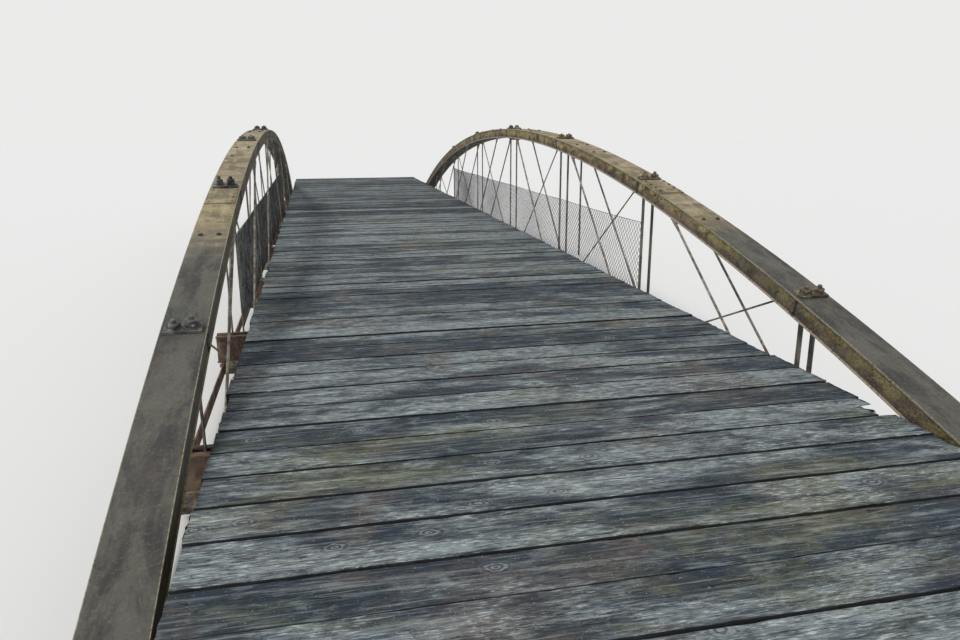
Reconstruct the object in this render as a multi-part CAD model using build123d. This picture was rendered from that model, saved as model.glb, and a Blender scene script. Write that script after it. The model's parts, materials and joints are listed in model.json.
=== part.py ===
from build123d import *
import math
import os

# Bowstring arch truss bridge, millimetres.
# X runs across the roadway, Y along it, Z up.
# The origin is at mid-span, on the centreline, at the underside of the bearing plates.

# Span and roadway
panel = 2743.0               # nine feet between lower panel points
panels = 8                   # an even number
deck_width = 3796.0
deck_overrun = 1330.0        # deck past the last panel point, at each end
side_gap = 59.0              # between the deck's edge and the arch's inner face

# Heights of what is stacked under the roadway
bearing_height = 165.0       # underside of the bearing plates to the lower chord's centre
chord_bar_height = 102.0
beam_depth = 254.0
joist_depth = 254.0
plank_thick = 76.0
crown_clearance = 1415.0     # deck to the underside of the arch at mid-span

# Arch: a closed box of two side plates, a top plate and a bottom plate
arch_width = 267.0
side_plate_height = 127.0
side_plate_thick = 9.0
top_plate_thick = 12.0
bottom_plate_thick = 8.0
plate_lip = 6.0              # how far top and bottom plate stand out past the sides
foot_reach = 43.0            # arch underside meets the chord's level this far past the last panel point
foot_rise = 60.0             # lowest corner of the arch above the bearing plate's underside

# Splices of the arch
splice_post = 2              # cover plate starts just beyond this post, counted from mid-span
splice_from_cap = 26.0       # clear of the post's cap
splice_length = 460.0
splice_plate_thick = 9.0
splice_plate_inset = 10.0    # cover plate is this much narrower than the top plate, each side

# Posts, pairs of flat bars
post_inset = 81.5            # middle of each bar in from the arch's edge
post_bar_thick = 12.0
post_bar_width = 45.0
yoke_depth = 36.0
yoke_length = 90.0
cap_width = 220.0
cap_length = 96.0
cap_thick = 22.0
nut_across = 66.0            # square nut over each bar
nut_height = 44.0

# Rods
main_rod_radius = 11.0
main_rod_inset = 8.5         # rod's middle in from the arch's edge
main_start = 690.0           # outward of a post, on the arch
end_main_start = 850.0       # the same in the end panels
counter_rod_radius = 8.0
counter_start = 290.0        # inward of a post, on the arch
counter_foot = 110.0         # its line meets the chord's centre this far outward of a post
rod_sides = 6
palm_length = 110.0
palm_width = 46.0
palm_thick = 14.0
lone_bar_start = 680.0       # lone upright, outward of the first post, near half only
lone_bar_width = 40.0
lone_bar_thick = 10.0
lone_bar_foot = 60.0         # how far it hangs below the deck's top

# Lower chord and its cast blocks
chord_bar_thick = 12.0
chord_gap = 7.5              # between the arch's side and the chord bar
chord_end_reach = 305.0      # chord bar past the last panel point
block_length = 260.0         # cast block at a lower panel point, along the chord
block_chamfer = 55.0         # its upper corners are cut back square to the rods
block_gap = 0.3              # between the block and each chord bar
chord_palm_length = 150.0
chord_palm_height = 100.0
chord_palm_from_end = 62.0   # middle of the palm in from the chord bar's end

# Floor beams, two channels back to back
beam_flange = 58.0
beam_web = 8.0
beam_flange_thick = 10.0
beam_overrun = 50.0          # past the outer chord bar
beam_post_gap = 3.0          # between a post bar's edge and the web
cope_margin = 3.0
diaphragm_thick = 12.0
diaphragms = 2
end_beam_gap = 17.0          # between the end beam and the arch

# Joists
joist_width = 76.0
joist_rows = 7
joist_edge = 98.0            # outer joist's middle in from the deck's edge
joist_butt = 5.0
joist_inset = 50.0           # joist end in from the deck's end

# Shoes
plate_thick = 25.0
plate_side = 235.0           # bearing plate out from the truss's middle plane
plate_inner_side = 420.0     # and toward the roadway
plate_back = 180.0           # past the end of the arch
plate_front = 330.0          # before the end of the arch
saddle_length = 270.0
back_wall_thick = 36.0
back_wall_rise = 24.0        # above the arch's top
gusset_thick = 22.0
gusset_root = 20.0           # how far it runs into the wall
seat_length = 190.0
seat_width = 130.0
anchor_hole_radius = 13.0
anchor_edge = 45.0           # gusset's foot in from the plate's edge
anchor_spacing = 380.0       # two anchor holes, one each side of the arch

# Fence
fence_top = 620.0            # above the deck
fence_height = 914.0
fence_half_panels = 2        # panels each side of mid-span
fence_diamonds_high = 2
fence_diamonds_long = 3
fence_wire = 6.0
fence_thick = 4.0
seat_gap = 0.3               # between pieces that rest on each other

# Worked out from the values above
half_panels = panels // 2
arch_depth = side_plate_height + top_plate_thick + bottom_plate_thick
chord_z = bearing_height
beam_z = chord_z + chord_bar_height / 2
joist_z = beam_z + beam_depth
plank_z = joist_z + joist_depth
deck_z = plank_z + plank_thick
crown_z = deck_z + crown_clearance
truss_x = deck_width / 2 + side_gap + arch_width / 2
post_pitch = arch_width - 2 * post_inset
main_rod_plane = arch_width / 2 - main_rod_inset
last_point = half_panels * panel
foot_half = last_point + foot_reach
foot_drop = crown_z - chord_z
arch_radius = (foot_half ** 2 + foot_drop ** 2) / (2 * foot_drop)
arch_centre_z = crown_z - arch_radius
arch_end_angle = math.degrees(math.acos((foot_rise - arch_centre_z) / arch_radius))
arch_end_y = arch_radius * math.sin(math.radians(arch_end_angle))
deck_half = last_point + deck_overrun
chord_x = arch_width / 2 + chord_gap + chord_bar_thick / 2
chord_half = last_point + chord_end_reach
chord_palm_y = chord_half - chord_palm_from_end
post_points = [i * panel for i in range(-half_panels + 1, half_panels)]
arch_axis = Axis((0, 0, arch_centre_z), (1, 0, 0))
sides = {"left": -1, "right": 1}


def block(size_x, size_y, size_z, x=0.0, y=0.0, z=0.0):
    """A box with its middle at x and y and its underside at z."""
    return Pos(x, y, z + size_z / 2) * Box(size_x, size_y, size_z)


def arch_angle(y, offset=0.0):
    """Angle in degrees from the crown to the point of the arch at y."""
    return math.degrees(math.asin(y / (arch_radius + offset)))


def arch_z(y, offset=0.0):
    """Height of the arch's underside, or of the curve that lies offset above it, at y."""
    return arch_centre_z + math.sqrt((arch_radius + offset) ** 2 - y ** 2)


def on_arch(angle, offset=0.0, x=0.0):
    """Frame on the arch at an angle from the crown, with its Z square to the arch."""
    turned = Pos(0, 0, arch_centre_z) * Rot(-angle, 0, 0)
    return turned * Pos(x, 0, arch_radius + offset)


def arch_strip(profile, start_angle, end_angle):
    """Sweep a cross section, drawn at the crown, round the arch between two angles."""
    placed = Pos(0, 0, arch_centre_z) * Rot(-start_angle, 0, 0) * Pos(0, 0, -arch_centre_z) * profile
    return revolve(placed, arch_axis, start_angle - end_angle)


def section_rect(width, height, x, low):
    """Rectangle in the cross plane, with its lower edge low above the arch's underside."""
    return Plane.XZ * Pos(x, crown_z + low + height / 2) * Rectangle(width, height)


def rod(start, end, radius):
    """A straight rod between two points."""
    a, b = Vector(*start), Vector(*end)
    return Plane(origin=a, z_dir=b - a) * extrude(RegularPolygon(radius, rod_sides), (b - a).length)


def arch_side_plate(toward):
    """Side plate of the arch, on the side that toward gives."""
    x = toward * (arch_width / 2 - plate_lip - side_plate_thick / 2)
    profile = section_rect(side_plate_thick, side_plate_height, x, bottom_plate_thick)
    return arch_strip(profile, -arch_end_angle, arch_end_angle)


def arch_plate(thick, low):
    """Top or bottom plate of the arch."""
    return arch_strip(section_rect(arch_width, thick, 0, low), -arch_end_angle, arch_end_angle)


def splice_plates():
    """Cover plates over the joints of the top plate, one each side of the crown."""
    width = arch_width - 2 * splice_plate_inset
    top_radius = arch_radius + arch_depth
    past_post = math.degrees((cap_length / 2 + splice_from_cap) / top_radius)
    start = arch_angle(splice_post * panel, arch_depth) + past_post
    profile = section_rect(width, splice_plate_thick, 0, arch_depth)
    plate = arch_strip(profile, start, start + math.degrees(splice_length / top_radius))
    return [plate, mirror(plate, Plane.XZ)]


def post(y):
    """Two flat bars that hang from a yoke under the arch and stand on the block below."""
    whole = on_arch(arch_angle(y), -seat_gap) * block(
        post_pitch + post_bar_thick, yoke_length, yoke_depth, z=-yoke_depth)
    foot = beam_z + seat_gap
    height = arch_z(y) - yoke_depth / 2 - foot
    for side in (-1, 1):
        whole += block(post_bar_thick, post_bar_width, height, side * post_pitch / 2, y, foot)
    return whole


def post_cap(y):
    """Washer plate across the arch over a post, with a nut on the end of each of its bars."""
    cap = block(cap_width, cap_length, cap_thick)
    for side in (-1, 1):
        cap += block(nut_across, nut_across, nut_height, side * post_pitch / 2, 0, cap_thick)
    return on_arch(arch_angle(y, arch_depth), arch_depth + seat_gap) * cap


def chord_block(y, grow=0.0):
    """Cast block between the chord bars. Rods seat on its cut-back corners and the post on its top."""
    half = block_length / 2 + grow
    top = beam_z + grow
    low = chord_z - chord_bar_height / 2 - grow
    outline = [(y - half, low), (y - half, top - block_chamfer), (y - half + block_chamfer, top),
               (y + half - block_chamfer, top), (y + half, top - block_chamfer), (y + half, low)]
    face = make_face(Plane.YZ * Polyline(*outline, close=True))
    return extrude(face, chord_x - chord_bar_thick / 2 - block_gap, both=True)


def tie_rod(top_y, block_y, foot_y, x, radius):
    """Rod from a palm under the arch toward foot_y on the chord, ending on the block at block_y."""
    palm_x = math.copysign(min(abs(x), (arch_width - palm_width) / 2), x)
    seat = on_arch(arch_angle(top_y), -seat_gap, palm_x)
    palm = seat * block(palm_width, palm_length, palm_thick, z=-palm_thick)
    piece = palm + rod((x, top_y, arch_z(top_y) - palm_thick), (x, foot_y, chord_z), radius)
    return piece - chord_block(block_y, seat_gap)


def main_diagonals(x):
    """Main rods of one plane of a truss, down and outward to the next panel point."""
    rods = []
    for end in (-1, 1):
        for i in range(half_panels - 1):
            start = end_main_start if i == half_panels - 2 else main_start
            foot = end * (i + 1) * panel
            rods.append(tie_rod(end * (i * panel + start), foot, foot, x, main_rod_radius))
    return rods


def counters():
    """Thin rods in the middle plane, down and inward to the next panel point."""
    rods = []
    for end in (-1, 1):
        for i in range(1, half_panels):
            point = end * (i - 1) * panel
            foot = point + end * counter_foot
            rods.append(tie_rod(end * (i * panel - counter_start), point, foot, 0, counter_rod_radius))
    return rods


def lone_upright():
    """Single upright between the first and second posts of the near half."""
    y = -(panel + lone_bar_start)
    foot = deck_z - lone_bar_foot
    top = arch_z(y) - palm_thick / 2
    palm = on_arch(arch_angle(y), -seat_gap) * block(lone_bar_width, palm_width, palm_thick, z=-palm_thick)
    return palm + block(lone_bar_thick, lone_bar_width, top - foot, 0, y, foot)


def chord_bar(toward_arch):
    """One flat bar of the lower chord, with a forged palm at each end against the arch's side."""
    bar = block(chord_bar_thick, 2 * chord_half, chord_bar_height, 0, 0, chord_z - chord_bar_height / 2)
    reach = chord_gap + plate_lip - seat_gap
    middle_x = toward_arch * (chord_bar_thick / 2 + reach / 2)
    middle_depth = bottom_plate_thick + side_plate_height / 2
    palm = block(reach, chord_palm_length, chord_palm_height, z=-chord_palm_height / 2)
    for end in (-1, 1):
        angle = arch_angle(end * chord_palm_y, middle_depth)
        bar += on_arch(angle, middle_depth, middle_x) * palm
    return bar


def shoe_saddle_profile(width):
    """Cast saddle: a seat that follows the arch's underside, and a wall across its end."""
    outer = arch_radius + arch_depth + back_wall_rise
    inner = arch_radius - seat_gap
    turn = math.radians(arch_end_angle)
    low = (arch_end_y - saddle_length, plate_thick)
    seat_start = (low[0], arch_z(low[0], -seat_gap))
    seat_end = (inner * math.sin(turn), arch_centre_z + inner * math.cos(turn))
    wall_top = (outer * math.sin(turn), arch_centre_z + outer * math.cos(turn))
    face_shift = (seat_gap * math.cos(turn), -seat_gap * math.sin(turn))
    seat_end = (seat_end[0] + face_shift[0], seat_end[1] + face_shift[1])
    wall_top = (wall_top[0] + face_shift[0], wall_top[1] + face_shift[1])
    back_y = wall_top[0] + back_wall_thick * math.cos(turn)
    back_top = (back_y, wall_top[1] - back_wall_thick * math.sin(turn))
    back_low = (back_top[0], plate_thick)
    middle_y = (seat_start[0] + seat_end[0]) / 2
    middle = (middle_y, arch_z(middle_y, -seat_gap))
    with BuildSketch(Plane.YZ) as sketch:
        with BuildLine():
            Line(low, seat_start)
            ThreePointArc(seat_start, middle, seat_end)
            Polyline(seat_end, wall_top, back_top, back_low, low)
        make_face()
    return extrude(sketch.sketch, width / 2, both=True)


def shoe(side):
    """Cast shoe at the far foot of one truss, on its bearing plate, with the end beam's seat."""
    inner = -side * plate_inner_side
    outer = side * plate_side
    length = plate_front + plate_back
    middle_y = arch_end_y + (plate_back - plate_front) / 2
    casting = block(abs(outer - inner), length, plate_thick, (outer + inner) / 2, middle_y, 0)
    casting += shoe_saddle_profile(arch_width - 2 * plate_lip)
    wall_height = arch_depth + back_wall_rise
    wall_y = arch_end_y + wall_height * math.sin(math.radians(arch_end_angle)) + back_wall_thick
    gusset_run = arch_end_y + plate_back - anchor_edge - wall_y
    gusset_height = arch_z(arch_end_y, arch_depth) - plate_thick - back_wall_thick
    root = wall_y - gusset_root
    with BuildSketch(Plane.YZ) as web:
        with BuildLine():
            Polyline((root, plate_thick), (wall_y + gusset_run, plate_thick),
                     (root, plate_thick + gusset_height), (root, plate_thick))
        make_face()
    gusset = extrude(web.sketch, gusset_thick / 2, both=True)
    for x in (-arch_width / 4, arch_width / 4):
        casting += Pos(x, 0, 0) * gusset
    seat_x = -side * (plate_inner_side - seat_length / 2)
    seat_height = beam_z - seat_gap - plate_thick
    casting += block(seat_length, seat_width, seat_height, seat_x, last_point, plate_thick)
    for x in (-side * anchor_spacing / 2, side * anchor_spacing / 2):
        casting -= Pos(x, middle_y, plate_thick / 2) * Cylinder(anchor_hole_radius, 2 * plate_thick)
    return casting


def beam_channel(half_length, coped):
    """One channel of a floor beam, with its back toward -Y and its foot at z = 0."""
    web_y = post_bar_width / 2 + beam_post_gap + beam_web / 2
    flange_y = post_bar_width / 2 + beam_post_gap + beam_flange / 2
    channel = block(2 * half_length, beam_web, beam_depth, 0, web_y, 0)
    for low in (0, beam_depth - beam_flange_thick):
        channel += block(2 * half_length, beam_flange, beam_flange_thick, 0, flange_y, low)
    if coped:
        cope_half = main_rod_plane + main_rod_radius + cope_margin
        for side in (-1, 1):
            channel -= block(2 * cope_half, beam_flange, 2 * beam_flange_thick, side * truss_x,
                             flange_y + beam_web, -beam_flange_thick)
    return channel


def floor_beam(half_length, coped=True):
    """Two channels back to back, joined by diaphragms, with room for the posts between them."""
    channel = beam_channel(half_length, coped)
    beam = channel + mirror(channel, Plane.XZ)
    gap = post_bar_width + 2 * beam_post_gap
    spacing = deck_width / diaphragms
    for i in range(diaphragms):
        x = (i - (diaphragms - 1) / 2) * spacing
        beam += block(diaphragm_thick, gap, beam_depth, x, 0, 0)
    return beam


def floor_beams():
    """Beams at every post, on the chord bars, and one at each end, on the shoes."""
    beam = floor_beam(truss_x + chord_x + chord_bar_thick / 2 + beam_overrun)
    end_beam = floor_beam(truss_x - arch_width / 2 - end_beam_gap, coped=False)
    beams = [Pos(0, y, beam_z) * beam for y in post_points]
    beams += [Pos(0, y, beam_z) * end_beam for y in (-last_point, last_point)]
    return beams


def joists():
    """Timber joists, each two panels long, butted over the floor beams."""
    row_pitch = (deck_width - 2 * joist_edge) / (joist_rows - 1)
    inner_ends = [i * panel for i in range(-half_panels + 1, half_panels, 2)]
    ends = [-deck_half + joist_inset] + inner_ends + [deck_half - joist_inset]
    pieces = []
    for row in range(joist_rows):
        x = -deck_width / 2 + joist_edge + row * row_pitch
        for start, stop in zip(ends, ends[1:]):
            length = stop - start - joist_butt
            pieces.append(block(joist_width, length, joist_depth, x, (start + stop) / 2, joist_z))
    return pieces


def fence_panel():
    """Wire lattice between two posts, fused where the wires cross, with a wire at top and bottom."""
    length = panel
    step = length / fence_diamonds_long
    with BuildSketch(Plane.YZ) as sheet:
        with Locations((0, (fence_height - fence_wire) / 2), (0, -(fence_height - fence_wire) / 2)):
            Rectangle(length, fence_wire)
        with Locations((-(length - fence_wire) / 2, 0), ((length - fence_wire) / 2, 0)):
            Rectangle(fence_wire, fence_height)
        lean = math.degrees(math.atan2(fence_height, fence_diamonds_high * step))
        reach = math.hypot(fence_height, fence_diamonds_high * step)
        for i in range(-fence_diamonds_high, fence_diamonds_long + 1):
            middle = -length / 2 + (i + fence_diamonds_high / 2) * step
            with Locations(Pos(middle, 0) * Rot(0, 0, lean), Pos(middle, 0) * Rot(0, 0, -lean)):
                Rectangle(reach + fence_wire, fence_wire)
        Rectangle(length, fence_height, mode=Mode.INTERSECT)
    return extrude(sheet.sketch, fence_thick / 2, both=True)


def fence(side):
    """The four middle panels of fence of one truss, tied to the inner bars of the posts."""
    inner_face = post_pitch / 2 - post_bar_thick / 2
    x = -side * (inner_face - seat_gap - fence_thick / 2)
    z = deck_z + fence_top - fence_height / 2
    panel_piece = fence_panel()
    panels_here = []
    for i in range(-fence_half_panels, fence_half_panels):
        panels_here.append(Pos(x, (i + 0.5) * panel, z) * panel_piece)
    return panels_here


def write(name, pieces, x=0.0):
    """Write the pieces of one node, moved across to x."""
    moved = [Pos(x, 0, 0) * piece for piece in pieces]
    solids = [solid for piece in moved for solid in piece.solids()]
    export_step(solids[0] if len(solids) == 1 else Compound(children=solids), f"parts/{name}.step")


def main():
    os.makedirs("parts", exist_ok=True)
    side_plate = {toward: arch_side_plate(toward) for toward in (-1, 1)}
    top_plate = arch_plate(top_plate_thick, bottom_plate_thick + side_plate_height)
    bottom_plate = arch_plate(bottom_plate_thick, 0)
    posts = [post(y) for y in post_points]
    caps = [post_cap(y) for y in post_points]
    blocks = [chord_block(y) for y in post_points]
    for name, side in sides.items():
        x = side * truss_x
        write(f"{name}_arch_inner_side", [side_plate[-side]], x)
        write(f"{name}_arch_outer_side", [side_plate[side]], x)
        write(f"{name}_arch_top_plate", [top_plate], x)
        write(f"{name}_arch_bottom_plate", [bottom_plate], x)
        write(f"{name}_arch_splice_plates", splice_plates(), x)
        write(f"{name}_posts", posts, x)
        write(f"{name}_post_caps", caps, x)
        write(f"{name}_inner_diagonals", main_diagonals(-side * main_rod_plane), x)
        write(f"{name}_outer_diagonals", main_diagonals(side * main_rod_plane), x)
        write(f"{name}_counters", counters(), x)
        write(f"{name}_lone_upright", [lone_upright()], x)
        write(f"{name}_inner_chord_bar", [Pos(-side * chord_x, 0, 0) * chord_bar(side)], x)
        write(f"{name}_outer_chord_bar", [Pos(side * chord_x, 0, 0) * chord_bar(-side)], x)
        write(f"{name}_chord_blocks", blocks, x)
        far_shoe = shoe(side)
        write(f"{name}_far_shoe", [far_shoe], x)
        write(f"{name}_near_shoe", [mirror(far_shoe, Plane.XZ)], x)
        write(f"{name}_fence", fence(side), x)
    write("floor_beams", floor_beams())
    write("joists", joists())
    write("deck_planks", [block(deck_width, 2 * deck_half, plank_thick, z=plank_z)])


main()
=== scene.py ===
import json
import math

import bpy
import numpy as np
from mathutils import Matrix, Vector


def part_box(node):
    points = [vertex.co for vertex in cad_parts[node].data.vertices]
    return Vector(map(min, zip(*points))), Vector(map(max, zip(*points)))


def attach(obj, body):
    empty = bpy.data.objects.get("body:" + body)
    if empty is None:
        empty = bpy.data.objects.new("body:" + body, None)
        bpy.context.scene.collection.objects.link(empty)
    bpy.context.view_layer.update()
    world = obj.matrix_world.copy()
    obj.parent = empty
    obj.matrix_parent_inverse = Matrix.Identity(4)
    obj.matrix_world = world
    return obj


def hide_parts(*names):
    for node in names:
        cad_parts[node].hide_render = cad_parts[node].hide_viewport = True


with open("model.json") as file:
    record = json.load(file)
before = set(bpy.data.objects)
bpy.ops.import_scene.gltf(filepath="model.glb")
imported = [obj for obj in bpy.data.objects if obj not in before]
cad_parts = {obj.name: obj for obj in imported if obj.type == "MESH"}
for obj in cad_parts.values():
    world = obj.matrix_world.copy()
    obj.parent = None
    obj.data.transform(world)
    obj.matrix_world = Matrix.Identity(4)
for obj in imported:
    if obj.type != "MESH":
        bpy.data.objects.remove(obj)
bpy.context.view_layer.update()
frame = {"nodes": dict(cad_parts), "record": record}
nodes = frame["nodes"]
rng = np.random.default_rng(7)

# Camera, fitted in the photograph's 960 by 640 frame: angles in degrees, places in metres
photo_width = 960
focal_pixels = 745.0
pitch_down = 14.55
yaw_right = 12.23
roll = -0.18
eye_height = 1.6
camera_x = -1.279
camera_y = -12.75

# Sizes of the solids that the finer pieces are fitted to, in metres
deck_low, deck_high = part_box("deck_planks")
deck_top = deck_high.z
arch_top_low, arch_top_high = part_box("right_arch_top_plate")
truss_x = (arch_top_low.x + arch_top_high.x) / 2
arch_width = arch_top_high.x - arch_top_low.x
chord_z = sum(c.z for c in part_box("left_inner_chord_bar")) / 2
arch_depth = 0.147
arch_crown_z = arch_top_high.z - arch_depth
panel = 2.743
half_panels = 4
foot_reach = 0.043          # the arch meets the chord's level this far past the last panel point
foot_half = half_panels * panel + foot_reach
foot_drop = arch_crown_z - chord_z
arch_radius = (foot_half ** 2 + foot_drop ** 2) / (2 * foot_drop)
arch_centre_z = arch_crown_z - arch_radius
plate_lip = 0.006           # how far the arch's top plate stands out past its sides
side_face = arch_width / 2 - plate_lip
joist_edge = 0.098
joist_count = 7
joist_rows = np.linspace(deck_low.x + joist_edge, deck_high.x - joist_edge, joist_count)
post_points = [i * panel for i in range(1 - half_panels, half_panels)]
sides = {"left": -1, "right": 1}


# Node graphs for the materials

class Graph:
    """A material that is built up from texture, ramp and mix steps."""

    def __init__(self, name):
        self.material = bpy.data.materials.new(name)
        self.material.use_nodes = True
        self.tree = self.material.node_tree
        self.shader = self.tree.nodes["Principled BSDF"]
        self.place = self.tree.nodes.new("ShaderNodeTexCoord").outputs["Object"]

    def put(self, socket, value):
        """Link an output to a socket, or set a plain value on it."""
        if isinstance(value, bpy.types.NodeSocket):
            self.tree.links.new(value, socket)
        elif isinstance(value, tuple) and len(value) == 3 and socket.type == "RGBA":
            socket.default_value = (*value, 1.0)
        else:
            socket.default_value = value

    def stretch(self, scale, shift=None):
        """Object coordinates scaled along each axis, and moved by a value that differs between boards."""
        node = self.tree.nodes.new("ShaderNodeMapping")
        node.inputs["Scale"].default_value = scale
        self.put(node.inputs["Vector"], self.place)
        if shift is not None:
            self.put(node.inputs["Location"], shift)
        return node.outputs["Vector"]

    def noise(self, vector, scale=1.0, detail=4.0, rough=0.55, bend=0.0):
        """Cloudy noise, from 0 to 1."""
        node = self.tree.nodes.new("ShaderNodeTexNoise")
        self.put(node.inputs["Vector"], vector)
        settings = {"Scale": scale, "Detail": detail, "Roughness": rough, "Distortion": bend}
        for name, value in settings.items():
            node.inputs[name].default_value = value
        return node.outputs["Fac"]

    def cells(self, vector, scale):
        """Distance to the nearest of many scattered points."""
        node = self.tree.nodes.new("ShaderNodeTexVoronoi")
        self.put(node.inputs["Vector"], vector)
        node.inputs["Scale"].default_value = scale
        return node.outputs["Distance"]

    def step(self, value, low, high, out_low=0.0, out_high=1.0):
        """Smooth change from out_low to out_high as the value goes from low to high."""
        node = self.tree.nodes.new("ShaderNodeMapRange")
        node.interpolation_type = "SMOOTHSTEP"
        limits = {"From Min": low, "From Max": high, "To Min": out_low, "To Max": out_high}
        for name, number in limits.items():
            node.inputs[name].default_value = number
        self.put(node.inputs["Value"], value)
        return node.outputs["Result"]

    def calc(self, operation, first, second=0.0):
        """One step of arithmetic."""
        node = self.tree.nodes.new("ShaderNodeMath")
        node.operation = operation
        self.put(node.inputs[0], first)
        self.put(node.inputs[1], second)
        return node.outputs[0]

    def times(self, first, second):
        """The product of two values."""
        return self.calc("MULTIPLY", first, second)

    def swing(self, value, amount):
        """How far a noise is from its middle, times an amount."""
        return self.times(self.calc("SUBTRACT", value, 0.5), amount)

    def ridge(self, value, width):
        """Thin lines where a noise crosses its middle."""
        away = self.calc("ABSOLUTE", self.calc("SUBTRACT", value, 0.5))
        return self.step(away, width, 0.0)

    def axis(self, letter):
        """One object coordinate, in metres."""
        node = self.tree.nodes.new("ShaderNodeSeparateXYZ")
        self.put(node.inputs[0], self.place)
        return node.outputs["XYZ".index(letter)]

    def mix(self, share, first, second):
        """Blend from the first colour to the second. The node's colour sockets are 6, 7 and 2."""
        node = self.tree.nodes.new("ShaderNodeMix")
        node.data_type = "RGBA"
        self.put(node.inputs[0], share)
        self.put(node.inputs[6], first)
        self.put(node.inputs[7], second)
        return node.outputs[2]

    def attribute(self, name):
        """A value that the mesh holds at each point."""
        node = self.tree.nodes.new("ShaderNodeAttribute")
        node.attribute_name = name
        return node.outputs["Fac"]

    def spread(self, value):
        """A vector with another large multiple of a value on each axis."""
        node = self.tree.nodes.new("ShaderNodeCombineXYZ")
        for i, factor in enumerate((31.0, 17.0, 23.0)):
            self.put(node.inputs[i], self.times(value, factor))
        return node.outputs["Vector"]

    def above_arch(self):
        """Height above the arch's underside, square to its curve, in metres."""
        y = self.axis("Y")
        z = self.calc("SUBTRACT", self.axis("Z"), arch_centre_z)
        reach = self.calc("SQRT", self.calc("ADD", self.times(y, y), self.times(z, z)))
        return self.calc("SUBTRACT", reach, arch_radius)

    def arch_edge(self, low, high):
        """Mask that rises toward the arch's long edges, between two distances in from them, in metres."""
        across = self.calc("ABSOLUTE", self.axis("X"))
        off_centre = self.calc("ABSOLUTE", self.calc("SUBTRACT", across, truss_x))
        return self.step(off_centre, arch_width / 2 - low, arch_width / 2 - high)

    def knots(self, vector, rarity):
        """Masks of scattered knots and of the rings in them."""
        node = self.tree.nodes.new("ShaderNodeTexVoronoi")
        node.voronoi_dimensions = "2D"
        node.inputs["Scale"].default_value = 1.0
        self.put(node.inputs["Vector"], vector)
        away = self.calc("ADD", node.outputs["Distance"], self.times(self.noise(vector, 7.0, 4.0), 0.16))
        chosen = self.step(node.outputs["Color"], rarity, rarity + 0.001)
        rings = self.step(self.calc("SINE", self.times(away, 80.0)), -0.7, 0.9)
        return self.times(chosen, self.step(away, 0.30, 0.15)), rings

    def finish(self, colour, rough, height, strength, distance, metal=0.0, gloss=0.5):
        """Join the colour, roughness and relief to the shader."""
        self.put(self.shader.inputs["Base Color"], colour)
        self.put(self.shader.inputs["Roughness"], rough)
        self.shader.inputs["Metallic"].default_value = metal
        self.shader.inputs["Specular IOR Level"].default_value = gloss
        bump = self.tree.nodes.new("ShaderNodeBump")
        bump.inputs["Strength"].default_value = strength
        bump.inputs["Distance"].default_value = distance
        self.put(bump.inputs["Height"], height)
        self.put(self.shader.inputs["Normal"], bump.outputs["Normal"])
        return self.material


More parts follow.
